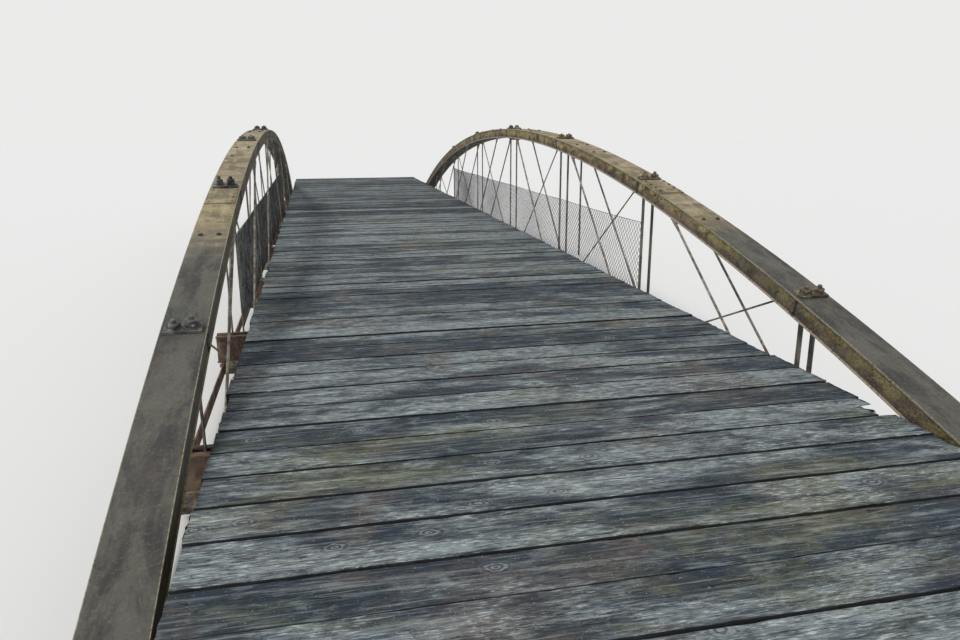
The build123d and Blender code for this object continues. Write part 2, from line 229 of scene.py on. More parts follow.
def board_wood():
    """Weathered planks: grey and brown in patches with a painted slate-blue cast of shade light, short
    grain, knots, cracks and stains, and painted shade along the joints.
    """
    g = Graph("weathered_board")
    tone = g.attribute("tone")
    # The rim attribute carries painted shade: 0 at each board's long edges and low sides, 1 inside
    rim = g.attribute("rim")
    shift = g.spread(tone)
    plain = g.stretch((1.0, 1.0, 1.0))
    zone = g.noise(g.stretch((0.9, 2.6, 1.0), shift), 1.0, 5.0, 0.62, 0.6)
    mottle = g.noise(g.stretch((5.0, 15.0, 12.0), shift), 1.0, 5.0, 0.66, 0.9)
    flecks = g.noise(g.stretch((19.0, 130.0, 60.0), shift), 1.0, 2.0, 0.6, 0.15)
    lines = g.noise(g.stretch((3.0, 75.0, 30.0), shift), 1.0, 4.0, 0.62, 0.3)
    crack_lines = g.ridge(g.noise(g.stretch((1.3, 26.0, 10.0), shift), 1.0, 4.0, 0.6, 0.8), 0.010)
    crack_zone = g.noise(g.stretch((1.6, 7.0, 4.0), shift), 1.0, 2.0)
    cracks = g.times(crack_lines, g.step(crack_zone, 0.53, 0.6))
    check_lines = g.ridge(g.noise(g.stretch((4.5, 52.0, 22.0), shift), 1.0, 2.0, 0.5, 0.4), 0.022)
    check_zone = g.noise(g.stretch((6.0, 16.0, 9.0), shift), 1.0, 2.0)
    checks = g.times(check_lines, g.step(check_zone, 0.46, 0.54))
    stains = g.noise(plain, 1.3, 6.0, 0.66, 0.7)
    moss = g.noise(g.stretch((0.7, 1.5, 1.0)), 1.0, 6.0, 0.7, 0.6)
    speckle = g.noise(plain, 95.0, 2.0, 0.6)
    knots, knot_rings = g.knots(g.stretch((2.7, 4.2, 1.0), shift), 0.70)
    worn = g.calc("ADD", zone, g.swing(tone, 0.30))
    # The blue and teal tint of these greys is a painted cast of shade light over weathered grey wood
    colour = g.mix(g.step(worn, 0.41, 0.61), (0.022, 0.038, 0.054), (0.190, 0.226, 0.234))
    colour = g.mix(g.step(stains, 0.50, 0.64, 0.0, 0.6), colour, (0.115, 0.086, 0.074))
    colour = g.mix(g.step(moss, 0.52, 0.66, 0.0, 0.55), colour, (0.16, 0.165, 0.085))
    colour = g.mix(g.step(mottle, 0.50, 0.36, 0.0, 0.55), colour, (0.034, 0.045, 0.060))
    colour = g.mix(g.step(mottle, 0.52, 0.68, 0.0, 0.35), colour, (0.32, 0.365, 0.365))
    streaks = g.noise(g.stretch((1.0, 19.0, 12.0), shift), 1.0, 4.0, 0.6, 0.5)
    colour = g.mix(g.step(streaks, 0.46, 0.35, 0.0, 0.6), colour, (0.038, 0.044, 0.054))
    colour = g.mix(g.step(streaks, 0.54, 0.68, 0.0, 0.35), colour, (0.33, 0.35, 0.34))
    colour = g.mix(g.step(lines, 0.47, 0.34, 0.0, 0.6), colour, (0.034, 0.038, 0.046))
    colour = g.mix(g.step(lines, 0.52, 0.68, 0.0, 0.35), colour, (0.36, 0.38, 0.36))
    pale_zone = g.times(g.step(worn, 0.42, 0.58, 0.08, 1.0), g.step(mottle, 0.40, 0.56, 0.25, 0.85))
    colour = g.mix(g.times(g.step(flecks, 0.52, 0.66), pale_zone), colour, (0.47, 0.525, 0.53))
    dark_zone = g.step(mottle, 0.58, 0.44, 0.2, 0.75)
    colour = g.mix(g.times(g.step(flecks, 0.46, 0.34), dark_zone), colour, (0.026, 0.030, 0.036))
    colour = g.mix(g.step(speckle, 0.67, 0.72, 0.0, 0.6), colour, (0.50, 0.49, 0.45))
    colour = g.mix(g.step(speckle, 0.34, 0.28, 0.0, 0.8), colour, (0.02, 0.018, 0.016))
    knot_share = g.times(knots, g.step(flecks, 0.35, 0.6, 0.35, 0.8))
    colour = g.mix(knot_share, colour, g.mix(knot_rings, (0.05, 0.055, 0.063), (0.27, 0.29, 0.30)))
    colour = g.mix(g.times(checks, 0.75), colour, (0.020, 0.023, 0.028))
    colour = g.mix(g.times(cracks, 0.9), colour, (0.012, 0.012, 0.012))
    # Painted shade in the joints: near-black along the boards' long edges and low sides, frayed by noise
    frayed_joint_shade = g.calc("ADD", rim, g.swing(g.noise(g.stretch((38.0, 90.0, 40.0)), 1.0, 3.0), 0.8))
    colour = g.mix(g.step(frayed_joint_shade, 0.95, 0.45, 0.0, 0.95), colour, (0.010, 0.010, 0.011))
    height = g.calc("ADD", g.times(flecks, 0.6), g.times(lines, 0.7))
    height = g.calc("SUBTRACT", height, g.times(cracks, 0.8))
    rough = g.step(mottle, 0.35, 0.65, 0.95, 0.78)
    return g.finish(colour, rough, height, 1.0, 0.004, gloss=0.15)


def rusty_iron(name, base, dark, pale, lichen_share, lichen=(0.47, 0.35, 0.10), runs=(6.0, 22.0, 3.5)):
    """Old wrought iron with scale, run-off streaks, rust spots and lichen. Returns its graph and layers."""
    g = Graph(name)
    plain = g.stretch((1.0, 1.0, 1.0))
    blotch = g.noise(plain, 4.0, 6.0, 0.65, 0.5)
    grain = g.noise(plain, 55.0, 5.0, 0.7)
    run = g.noise(g.stretch(runs), 1.0, 5.0, 0.65, 0.4)
    crust = g.noise(g.stretch((2.2, 4.5, 1.6)), 1.0, 7.0, 0.7, 0.9)
    colour = g.mix(g.step(blotch, 0.42, 0.58), dark, base)
    colour = g.mix(g.step(run, 0.51, 0.64, 0.0, 0.65), colour, pale)
    colour = g.mix(g.step(run, 0.47, 0.36, 0.0, 0.7), colour, dark)
    colour = g.mix(g.step(grain, 0.55, 0.68, 0.0, 0.55), colour, (0.30, 0.13, 0.055))
    cover = g.times(g.step(crust, 0.47, 0.58), g.step(grain, 0.38, 0.54))
    lichen_tone = g.mix(g.step(run, 0.42, 0.58), lichen, (0.44, 0.40, 0.22))
    colour = g.mix(g.times(cover, lichen_share), colour, lichen_tone)
    colour = g.mix(g.step(grain, 0.40, 0.32, 0.0, 0.8), colour, (0.025, 0.018, 0.015))
    height = g.calc("ADD", g.times(grain, 0.8), g.times(g.cells(plain, 75.0), 0.4))
    return g, colour, height, blotch, grain


def plain_iron(*values, **named):
    """Rusty iron with nothing more on it."""
    g, colour, height, blotch, grain = rusty_iron(*values, **named)
    return g.finish(colour, g.step(blotch, 0.35, 0.65, 0.92, 0.68), height, 0.8, 0.003, 0.15)


def arch_side_iron(name, base, lichen_share, pale, pale_lip_and_highlight):
    """Side of the arch: lichen on its upper part; a pale lip at its lowest edge, partly worn and partly a
    painted highlight; painted shade underneath and just under the top plate.
    """
    g, colour, height, blotch, grain = rusty_iron(
        name, base, (0.040, 0.032, 0.030), pale, 0.25 * lichen_share, runs=(5.0, 5.0, 7.5))
    rise = g.above_arch()
    ragged = g.calc("ADD", rise, g.swing(blotch, 0.22))
    crust = g.noise(g.stretch((5.0, 4.5, 8.0)), 1.0, 8.0, 0.70, 1.2)
    patch = g.noise(g.stretch((1.0, 1.8, 1.8)), 1.0, 4.0, 0.6, 0.6)
    flakes = g.times(g.step(crust, 0.41, 0.52), g.step(grain, 0.34, 0.50))
    thin_out = g.times(g.step(patch, 0.36, 0.48, 0.3, 1.0), g.step(g.axis("Y"), -0.5, 5.0, 1.0, 0.5))
    cover = g.times(g.times(g.step(ragged, 0.035, 0.085), flakes), thin_out)
    lichen = g.mix(g.step(crust, 0.48, 0.64), (0.37, 0.29, 0.07), (0.56, 0.48, 0.19))
    colour = g.mix(g.times(cover, lichen_share), colour, lichen)
    colour = g.mix(g.times(g.step(ragged, 0.07, 0.03), 0.35), colour, (0.085, 0.055, 0.052))
    low = g.calc("ADD", g.calc("ABSOLUTE", g.axis("Y")), g.times(blotch, 3.0))
    colour = g.mix(g.step(low, 8.0, 9.4, 0.0, 0.5), colour, (0.045, 0.045, 0.040))
    specks = g.noise(g.stretch((1.0, 1.0, 1.0)), 120.0, 3.0, 0.7)
    colour = g.mix(g.step(specks, 0.56, 0.68, 0.0, 0.7 * lichen_share), colour, (0.42, 0.37, 0.28))
    colour = g.mix(g.step(specks, 0.45, 0.34, 0.0, 0.8), colour, (0.018, 0.015, 0.013))
    # Painted shade on the underside: the lowest few millimetres turn dark
    colour = g.mix(g.step(rise, 0.003, 0.001, 0.0, 0.7), colour, (0.035, 0.030, 0.027))
    # Pale lip at the lowest outer edges: partly worn lichen, partly a painted highlight
    edge = g.times(g.arch_edge(0.014, 0.007), g.step(rise, 0.018, 0.012))
    colour = g.mix(g.times(edge, g.step(grain, 0.36, 0.5)), colour, pale_lip_and_highlight)
    # Painted shadow: a dark band across the side just under the top plate
    painted_plate_shadow = g.step(rise, arch_depth - 0.024, arch_depth - 0.014, 0.0, 0.6)
    colour = g.mix(painted_plate_shadow, colour, (0.03, 0.025, 0.02))
    return g.finish(colour, g.step(blotch, 0.35, 0.65, 0.92, 0.70), height, 0.8, 0.003, 0.12)


def arch_top_iron():
    """Top plate of the arch: khaki, with cross bands that are partly stains and partly painted dappled
    light, pale edge lines that are partly wear and partly a painted highlight, and dark near the feet from
    stains, moss and painted shade.
    """
    g, colour, height, blotch, grain = rusty_iron(
        "arch_top_iron", (0.30, 0.245, 0.135), (0.15, 0.12, 0.075), (0.42, 0.36, 0.24), 0.35,
        lichen=(0.34, 0.29, 0.10), runs=(16.0, 3.0, 3.0))
    # Cross bands, dark and pale: partly stains, partly painted dappled sun and shade
    across = g.noise(g.stretch((1.2, 9.0, 6.0)), 1.0, 5.0, 0.6, 0.4)
    colour = g.mix(g.step(across, 0.50, 0.64, 0.0, 0.6), colour, (0.13, 0.115, 0.09))
    colour = g.mix(g.step(across, 0.46, 0.34, 0.0, 0.5), colour, (0.43, 0.38, 0.27))
    # Darker and bluer near the feet: partly moss and stains, partly painted shade
    smear = g.noise(g.stretch((7.0, 1.8, 2.5)), 1.0, 8.0, 0.70, 0.35)
    foot = g.mix(g.step(smear, 0.42, 0.58), (0.090, 0.091, 0.076), (0.037, 0.035, 0.035))
    foot = g.mix(g.step(blotch, 0.54, 0.66, 0.0, 0.5), foot, (0.075, 0.063, 0.053))
    foot = g.mix(g.step(grain, 0.54, 0.70, 0.0, 0.45), foot, (0.195, 0.20, 0.175))
    foot = g.mix(g.step(grain, 0.44, 0.32, 0.0, 0.6), foot, (0.03, 0.03, 0.028))
    low = g.calc("ADD", g.calc("ABSOLUTE", g.axis("Y")), g.times(blotch, 2.2))
    colour = g.mix(g.step(low, 7.6, 8.4, 0.0, 0.95), colour, foot)
    # Pale line along the plate's long edges: partly wear, partly a painted highlight
    edge = g.arch_edge(0.006, 0.001)
    colour = g.mix(g.times(edge, g.step(grain, 0.38, 0.52, 0.2, 0.75)), colour, (0.40, 0.37, 0.25))
    return g.finish(colour, g.step(blotch, 0.35, 0.65, 0.85, 0.62), height, 0.7, 0.0025, 0.12)


def joist_timber():
    """Dark damp timber, with its grain along the bridge."""
    g = Graph("joist_timber")
    grain = g.noise(g.stretch((60.0, 1.6, 60.0)), 1.0, 5.0, 0.65, 0.4)
    damp = g.noise(g.stretch((1.0, 1.0, 1.0)), 1.6, 5.0, 0.6)
    cracks = g.ridge(g.noise(g.stretch((30.0, 0.8, 30.0)), 1.0, 3.0, 0.6, 0.6), 0.012)
    colour = g.mix(g.step(grain, 0.42, 0.60), (0.075, 0.055, 0.04), (0.25, 0.20, 0.15))
    colour = g.mix(g.step(damp, 0.5, 0.62, 0.0, 0.6), colour, (0.06, 0.055, 0.045))
    colour = g.mix(g.times(cracks, 0.8), colour, (0.018, 0.014, 0.011))
    height = g.calc("SUBTRACT", grain, cracks)
    return g.finish(colour, g.step(grain, 0.35, 0.65, 0.95, 0.8), height, 0.8, 0.003)


def fence_wire():
    """Dull zinc wire, dark with age."""
    g = Graph("fence_wire")
    wear = g.noise(g.stretch((1.0, 1.0, 1.0)), 9.0, 4.0, 0.6)
    colour = g.mix(g.step(wear, 0.42, 0.60), (0.022, 0.023, 0.025), (0.085, 0.086, 0.088))
    return g.finish(colour, g.step(wear, 0.35, 0.65, 0.6, 0.45), wear, 0.3, 0.0005, 0.6)


# Mesh building

hex_sides = 6
rivet_sides = 8
round_sides = 12
plate_edge = 0.003
nut_edge = 0.006


def ring_faces(rings, sides):
    """Faces that join closed rings of points one after another, with a cap at each end."""
    faces = []
    for ring in range(rings - 1):
        first = ring * sides
        for k in range(sides):
            after = (k + 1) % sides
            faces.append((first + k, first + after, first + sides + after, first + sides + k))
    faces.append(tuple(range(sides - 1, -1, -1)))
    faces.append(tuple(range((rings - 1) * sides, rings * sides)))
    return faces


def moved(place, points):
    """Points of a frame, as they lie in the bridge."""
    return np.asarray(points) @ np.array(place.to_3x3()).T + np.array(place.translation)


class Shape:
    """Vertices and faces that are gathered into one mesh."""

    def __init__(self):
        self.points = []
        self.faces = []
        self.count = 0

    def add(self, points, faces):
        """Add points, and faces that count from the first of them."""
        self.points.append(np.asarray(points, float))
        self.faces.extend(tuple(i + self.count for i in face) for face in faces)
        self.count += len(points)

    def turned(self, place, profile, turns):
        """A turned form: profile holds radius and height pairs, place is its frame, turns its sides."""
        steps = 2 * math.pi * np.arange(turns) / turns
        ring = np.stack([np.cos(steps), np.sin(steps), np.zeros(turns)], 1)
        rings = [ring * (radius, radius, 0) + (0, 0, height) for radius, height in profile]
        self.add(moved(place, np.concatenate(rings)), ring_faces(len(profile), turns))

    def tube(self, path, radius, turns, flat=(1.0, 0.0, 0.0)):
        """A round bar along a path that stays near the plane square to flat."""
        path = np.asarray(path, float)
        run = np.gradient(path, axis=0)
        run /= np.linalg.norm(run, axis=1, keepdims=True)
        side = np.cross(run, flat)
        side /= np.linalg.norm(side, axis=1, keepdims=True)
        up = np.cross(run, side)
        steps = 2 * math.pi * np.arange(turns) / turns
        points = path[:, None] + radius * (np.cos(steps)[None, :, None] * side[:, None]
                                           + np.sin(steps)[None, :, None] * up[:, None])
        self.add(points.reshape(-1, 3), ring_faces(len(path), turns))

    def block(self, place, size, edge):
        """A box with cut corners, its middle at the frame's origin."""
        half = np.array(size) / 2
        levels = ((-half[2], edge), (-half[2] + edge, 0.0), (half[2] - edge, 0.0), (half[2], edge))
        points = []
        for z, cut in levels:
            x, y = half[0] - cut, half[1] - cut
            points += [(x, y - edge, z), (x - edge, y, z), (-x + edge, y, z), (-x, y - edge, z),
                       (-x, -y + edge, z), (-x + edge, -y, z), (x - edge, -y, z), (x, -y + edge, z)]
        self.add(moved(place, points), ring_faces(len(levels), 8))

    def mesh(self, name, material, smooth=False):
        """Make the mesh object and let it ride with the bridge."""
        mesh = bpy.data.meshes.new(name)
        mesh.from_pydata(np.concatenate(self.points).tolist(), [], self.faces)
        mesh.validate()
        mesh.materials.append(material)
        mesh.polygons.foreach_set("use_smooth", [smooth] * len(mesh.polygons))
        mesh.update()
        piece = bpy.data.objects.new(name, mesh)
        bpy.context.scene.collection.objects.link(piece)
        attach(piece, "root")
        return piece


def arch_place(y, offset=0.0, x=0.0):
    """Frame on the arch at y, with its Z square to the arch, offset above the underside."""
    angle = math.asin(y / (arch_radius + offset))
    turned = Matrix.Translation((0, 0, arch_centre_z)) @ Matrix.Rotation(-angle, 4, "X")
    return turned @ Matrix.Translation((x, 0, arch_radius + offset))


def arch_z(y):
    """Height of the arch's underside at y."""
    return arch_centre_z + math.sqrt(arch_radius ** 2 - y ** 2)


def aimed(start, end):
    """Frame at start with its Z toward end, and the distance between them."""
    run = Vector(end) - Vector(start)
    return Matrix.Translation(start) @ run.to_track_quat("Z", "Y").to_matrix().to_4x4(), run.length


def facing(place, toward):
    """The same frame with its Z turned to the X side that toward gives."""
    return place @ Matrix.Rotation(toward * math.pi / 2, 4, "Y")


def wander(x, seed, scale, reach):
    """A smooth uneven line: sums of sines along x."""
    local = np.random.default_rng(seed)
    total = np.zeros_like(x)
    for octave in range(1, 5):
        phase, pace = local.uniform(0, 2 * math.pi), local.uniform(0.8, 1.25)
        total += np.sin(x * scale * pace * 1.9 ** octave + phase) / 1.5 ** octave
    return total * reach


# Deck

board_count = 83
near_boards = 37                # boards at the near end, which are made finer
near_columns = 88               # points along each of them
far_columns = 48
cut_wander = 0.012              # how far a joint strays from its even place
tight_gap = (0.003, 0.006)
wide_gap = (0.006, 0.010)
wide_share = 0.45               # of the joints
top_margin = 0.004              # a level board's edges lie this far under the slab's top
board_drop = 0.006              # most that one board lies lower than another
board_tilt = (-0.009, 0.0015)   # rise from its near edge to its far one
cup_depth = 0.0025              # hollow across a board
board_edge = 0.003              # worn off its long edges
board_sway = 0.0013             # how far a long edge strays
bite_depth = 0.025              # chips in the long edges
bite_width = 0.02
bite_reach = 0.012
end_wear = 0.028                # most that an end is worn back
ragged_end = 0.006
split_half = 0.0025
split_depth = 0.012
broken_y = -9.3                 # the board with a broken end
broken_reach = 0.10
nail_share = 0.35               # of the places for nails
nail_wander = 0.02
nail_sides = 7
nail_profile = ((0.006, -0.006), (0.0062, -0.0005), (0.004, 0.0004))


def plan_boards():
    """Start, end, drop and tilt of every cross board, with tight and wide gaps between them."""
    cuts = np.linspace(deck_low.y, deck_high.y, board_count + 1)
    cuts[1:-1] += rng.uniform(-cut_wander, cut_wander, board_count - 1)
    wide = rng.random(board_count + 1) < wide_share
    wide_gaps = rng.uniform(*wide_gap, board_count + 1)
    gaps = np.where(wide, wide_gaps, rng.uniform(*tight_gap, board_count + 1))
    gaps[[0, -1]] = 0.0
    plan = []
    for i in range(board_count):
        start, end = cuts[i] + gaps[i] / 2, cuts[i + 1] - gaps[i + 1] / 2
        plan.append((start, end, rng.uniform(0.0, board_drop), rng.uniform(*board_tilt)))
    return plan


def board_top(plan, across):
    """Height of a board's top at some distances from its near edge."""
    start, end, drop, tilt = plan
    share = across / (end - start)
    cup = cup_depth * (1.0 - (2 * share - 1.0) ** 2)
    return deck_top - top_margin - drop - cup + tilt * (share - 0.5)


def board_rows(width, splits):
    """Distances across a board's top, closer at its edges and at each split."""
    edge_rows = [0.0, board_edge * 0.4, board_edge, board_edge * 2.2]
    rows = edge_rows + [width - r for r in edge_rows] + [width * f for f in np.linspace(0.14, 0.86, 7)]
    for middle in splits:
        rows += [middle - split_half, middle, middle + split_half]
    return np.array(sorted(rows))


def board(shape, tones, joint_shades, plan, columns, seed):
    """One cross board, worn and chipped at its edges, split along its grain and ragged at its ends."""
    local = np.random.default_rng(seed)
    start, end = plan[:2]
    width = end - start
    splits = sorted(local.uniform(0.12, 0.88, 2) * width)
    across = board_rows(width, splits)
    edge = np.minimum(across, width - across)
    side_share = across / width

    # Ends, worn back and ragged
    left = deck_low.x + local.uniform(0.0, end_wear) + wander(across * 40, seed + 1, 1.0, ragged_end)
    right = deck_high.x - local.uniform(0.0, end_wear) + wander(across * 40, seed + 2, 1.0, ragged_end)
    if start < broken_y < end:
        right = right - broken_reach * np.clip(0.7 + wander(across * 9, seed + 3, 1.0, 0.8), 0.1, 1.0)
    left, right = np.maximum(left, deck_low.x), np.minimum(right, deck_high.x)
    share = np.linspace(0.0, 1.0, columns)
    xs = left[None, :] + share[:, None] * (right - left)[None, :]
    along = xs.mean(axis=1)

    # Long edges, rounded, chipped and not quite straight
    worn = 0.6 + 0.4 * wander(along, seed + 4, 2.3, 1.0)
    bites = [np.clip(wander(along, seed + k, 7.0, 1.0) - 0.85, 0.0, 1.0) for k in (5, 6)]
    near_bite = bites[0][:, None] * (side_share < 0.5) + bites[1][:, None] * (side_share >= 0.5)
    round_off = np.clip(1.0 - edge / (board_edge * 2.0), 0.0, 1.0) ** 2
    wear = round_off * (board_edge * worn[:, None] + bite_depth * near_bite)
    height = board_top(plan, across)[None, :] - wear
    inward = near_bite * np.clip(1.0 - edge / bite_width, 0.0, 1.0) * bite_reach * np.sign(0.5 - side_share)
    sway = wander(along, seed + 7, 1.6, board_sway)[:, None] * (1 - side_share)
    sway = sway + wander(along, seed + 8, 1.6, board_sway)[:, None] * side_share
    ys = np.clip(start + across[None, :] + sway + inward, deck_low.y, deck_high.y)

    # Splits that open toward one end
    for middle in splits:
        reach = local.uniform(0.25, 0.9)
        from_start = share if local.random() < 0.5 else 1.0 - share
        gape = np.clip(0.3 + wander(along, seed + 9, 3.0, 0.8), 0.0, 1.0)
        gape = np.clip((reach - from_start) * 6.0, 0.0, 1.0) * gape
        height[:, int(np.argmin(np.abs(across - middle)))] -= split_depth * gape
    height = np.minimum(height, deck_top)

    # A ring of points at each place along the board: low near corner, top, low far corner
    top = np.stack([xs, ys, height], 2)
    low_near, low_far = top[:, :1].copy(), top[:, -1:].copy()
    low_near[..., 2] = low_far[..., 2] = deck_low.z
    size = len(across) + 2

    # How far each point is from a long edge, for the painted shade along the joints and over the boards'
    # low sides, and the board's own tone
    dark = 0.003 + 0.004 * np.clip(0.3 + wander(along, seed + 10, 4.0, 0.7), 0.0, 1.0)
    shade = np.clip(edge[None, :] / dark[:, None], 0.0, 1.0)
    joint_shades.extend(np.pad(shade, ((0, 0), (1, 1))).ravel().tolist())
    tones.extend([local.random()] * (columns * size))
    shape.add(np.concatenate([low_near, top, low_far], 1).reshape(-1, 3), ring_faces(columns, size))


def make_deck(plans, material):
    """All the boards, in two pieces, the near one finer. Both stand for the deck's slab."""
    spans = (("near", 0, near_boards, near_columns), ("far", near_boards, board_count, far_columns))
    for name, first, last, columns in spans:
        shape, tones, joint_shades = Shape(), [], []
        for i in range(first, last):
            board(shape, tones, joint_shades, plans[i], columns, 100 * i)
        piece = shape.mesh(f"deck_boards_{name}", material, smooth=True)
        # rim holds the painted shade of the joints; tone is each board's own tone
        for label, values in (("tone", tones), ("rim", joint_shades)):
            layer = piece.data.attributes.new(label, "FLOAT", "POINT")
            layer.data.foreach_set("value", values)
        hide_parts("deck_planks")


def make_nails(plans, material):
    """Small nail heads, sunk into the boards over some of the joists."""
    shape = Shape()
    for plan in plans:
        start, end = plan[:2]
        for x in joist_rows:
            for share in (0.2, 0.8):
                if rng.random() < nail_share:
                    across = share * (end - start) + rng.uniform(-nail_wander, nail_wander)
                    z = board_top(plan, across)
                    nail_x = x + rng.uniform(-nail_wander, nail_wander)
                    shape.turned(Matrix.Translation((nail_x, start + across, z)), nail_profile, nail_sides)
    shape.mesh("deck_nails", material)


# Fence

wire_radius = 0.0025
diamond = 0.0707                    # from corner to corner
fence_rise = 0.620                  # above the deck
fence_top = deck_top + fence_rise
fence_height = 0.914
fence_plane = 0.0437                # from the truss's middle plane
edge_wire_radius = 0.003
top_sag = 0.010                     # between two posts
top_waver = 0.006
billow = 0.012                      # out of its plane, at half its height
tie_levels = (0.05, 0.36, 0.68)     # below the mesh's top
tie_radius = 0.0015
tie_loop = (0.012, 0.027)           # half across and half along
tie_skew = 0.004


def make_fence(name, side, material):
    """Chain-link mesh: zigzag pickets that hook into each other, edge wires, and ties round the posts."""
    shape = Shape()
    low_y, high_y = -2 * panel, 2 * panel
    x = side * (truss_x - fence_plane)
    rows = int(fence_height / (diamond / 2))
    pickets = int((high_y - low_y) / (diamond / 2))
    pitch_y = (high_y - low_y) / pickets
    steps = np.arange(rows + 1)
    down = steps / rows
    seed = 40 + side
    for k in range(pickets):
        odd = (steps + k) % 2
        ys = low_y + pitch_y * (k + odd)
        sag = top_sag * np.abs(np.sin(math.pi * ys / panel)) + top_waver * np.abs(np.sin(ys * 5.1 + seed))
        zs = fence_top - fence_height * down - sag * (1 - down)
        hook = np.where(odd, wire_radius, -wire_radius)
        xs = x + billow * np.sin(ys * 2.3 + seed) * np.sin(math.pi * down) + hook
        shape.tube(np.stack([xs, ys, zs], 1), wire_radius, 4)
    line = np.linspace(low_y, high_y, 89)
    for level, droop in ((fence_top, top_sag), (fence_top - fence_height, 0.0)):
        z = level - droop * np.abs(np.sin(math.pi * line / panel))
        shape.tube(np.stack([np.full_like(line, x), line, z], 1), edge_wire_radius, 6)
    round_post = np.linspace(0.0, 2 * math.pi, 13)
    bar_x = side * (truss_x - post_bar_x)
    for i in range(-2, 3):
        for level in tie_levels:
            xs = bar_x + tie_loop[0] * np.cos(round_post)
            ys = i * panel + tie_loop[1] * np.sin(round_post)
            zs = fence_top - level + tie_skew * np.sin(2 * round_post)
            shape.tube(np.stack([xs, ys, zs], 1), tie_radius, 5, (0.0, 0.0, 1.0))
    piece = shape.mesh(f"{name}_chain_link", material)
    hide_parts(f"{name}_fence")


# Arch details

# Profiles of heads and nuts: pairs of radius and height
rivet = ((0.0150, -0.001), (0.0145, 0.004), (0.0110, 0.009), (0.0050, 0.0115))
small_share = 0.7
small_rivet = tuple((radius * small_share, height * small_share) for radius, height in rivet)
nut_body = ((0.0195, -0.001), (0.0195, 0.016), (0.0165, 0.019))
nut_profile = nut_body + ((0.0100, 0.019), (0.0100, 0.030), (0.0070, 0.032))
low_bolt = ((0.0200, -0.001), (0.0200, 0.008), (0.0165, 0.011), (0.0100, 0.011), (0.0090, 0.016))

# Pairs of bolts on the top plate: bay counted from mid-span, and metres out from the bay's first post
bolt_rows = ((0, 0.69), (0, 1.29), (1, 0.69), (1, 1.29), (2, 1.29))
bolt_reach = 0.067                          # either side of the plate's middle
missing_bolt = ("left", -1, 1, 1.29, 1)     # truss, end, bay, metres, and 1 for the roadway's side
splice_start = 5.560                        # from mid-span
splice_plate_thick = 0.009
splice_rivets = (0.06, 0.18, 0.29, 0.41)    # along the cover plate
splice_rivet_reach = 0.098
splice_rivet_sides = 9
splice_side_rivets = (5.61, 5.77, 5.92, 6.05)
splice_side_levels = (-0.034, 0.036)
strap_size = (0.004, 0.055, 0.118)
strap_edge = 0.0015
strap_levels = (-0.036, 0.036)
bottom_plate_thick = 0.008
side_plate_height = 0.127
side_middle = bottom_plate_thick + side_plate_height / 2


def make_arch_details(name, side, material, plate_material):
    """Bolts on the top plate, rivets at the splices, and a riveted strap on each side at every post."""
    shape, plate_rivets = Shape(), Shape()
    mid = side * truss_x
    for end in (-1, 1):
        for bay, start in bolt_rows:
            for x in (-1, 1):
                if (name, end, bay, start, -side * x) != missing_bolt:
                    seat = arch_place(end * (bay * panel + start), arch_depth, mid + x * bolt_reach)
                    shape.turned(seat, low_bolt, hex_sides)
        for along in splice_rivets:
            for x in (-splice_rivet_reach, splice_rivet_reach):
                seat = arch_place(end * (splice_start + along), arch_depth + splice_plate_thick, mid + x)
                plate_rivets.turned(seat, rivet, splice_rivet_sides)
    for toward in (-1, 1):
        face = mid + toward * side_face
        for y in post_points:
            strap = arch_place(y, side_middle, face + toward * strap_size[0] / 2)
            shape.block(strap, strap_size, strap_edge)
            for level in strap_levels:
                head = arch_place(y, side_middle + level, face + toward * strap_size[0])
                shape.turned(facing(head, toward), small_rivet, rivet_sides)
        for end in (-1, 1):
            for y in splice_side_rivets:
                for level in splice_side_levels:
                    head = arch_place(end * y, side_middle + level, face)
                    shape.turned(facing(head, toward), small_rivet, rivet_sides)
    shape.mesh(f"{name}_arch_bolts", material)
    plate_rivets.mesh(f"{name}_splice_rivets", plate_material)


cap_size = (0.220, 0.096, 0.022)
post_bar_x = 0.052
cap_washer = ((0.043, -0.001), (0.043, 0.006), (0.040, 0.008))
washer_sides = 20
cap_nut = (0.066, 0.066, 0.025)
lock_nut = (0.058, 0.058, 0.022)
lock_share = 0.3
cap_nut_turn = 0.7
stud_radius = 0.016
stud_edge = 0.002
short_stud = 0.0105
tall_stud = (0.012, 0.028)
tall_from = 1.5 * panel      # the threaded ends stand taller from here outward, and may have lock nuts


def make_caps(name, side, material):
    """Plate over each post, with washers, square nuts and threaded ends, taller on the outer posts."""
    shape = Shape()
    mid = side * truss_x
    local = np.random.default_rng(60 + side)
    for y in post_points:
        seat = arch_place(y, arch_depth, mid)
        shape.block(seat @ Matrix.Translation((0, 0, cap_size[2] / 2)), cap_size, plate_edge)
        for x in (-post_bar_x, post_bar_x):
            low = seat @ Matrix.Translation((x, 0, cap_size[2]))
            shape.turned(low, cap_washer, washer_sides)
            low = low @ Matrix.Translation((0, 0, cap_washer[-1][1]))
            tall = abs(y) > tall_from
            reach = local.uniform(*tall_stud) if tall else short_stud
            locked = tall and local.random() < lock_share
            for size in (cap_nut, lock_nut) if locked else (cap_nut,):
                low = low @ Matrix.Rotation(local.uniform(-cap_nut_turn, cap_nut_turn), 4, "Z")
                shape.block(low @ Matrix.Translation((0, 0, size[2] / 2)), size, nut_edge)
                low = low @ Matrix.Translation((0, 0, size[2]))
            root, rim = (stud_radius, -stud_edge), (stud_radius, reach - stud_edge)
            tip = (stud_radius - stud_edge, reach)
            shape.turned(low, (root, rim, tip), round_sides)
    piece = shape.mesh(f"{name}_cap_nuts", material)
    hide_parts(f"{name}_post_caps")


# Rods

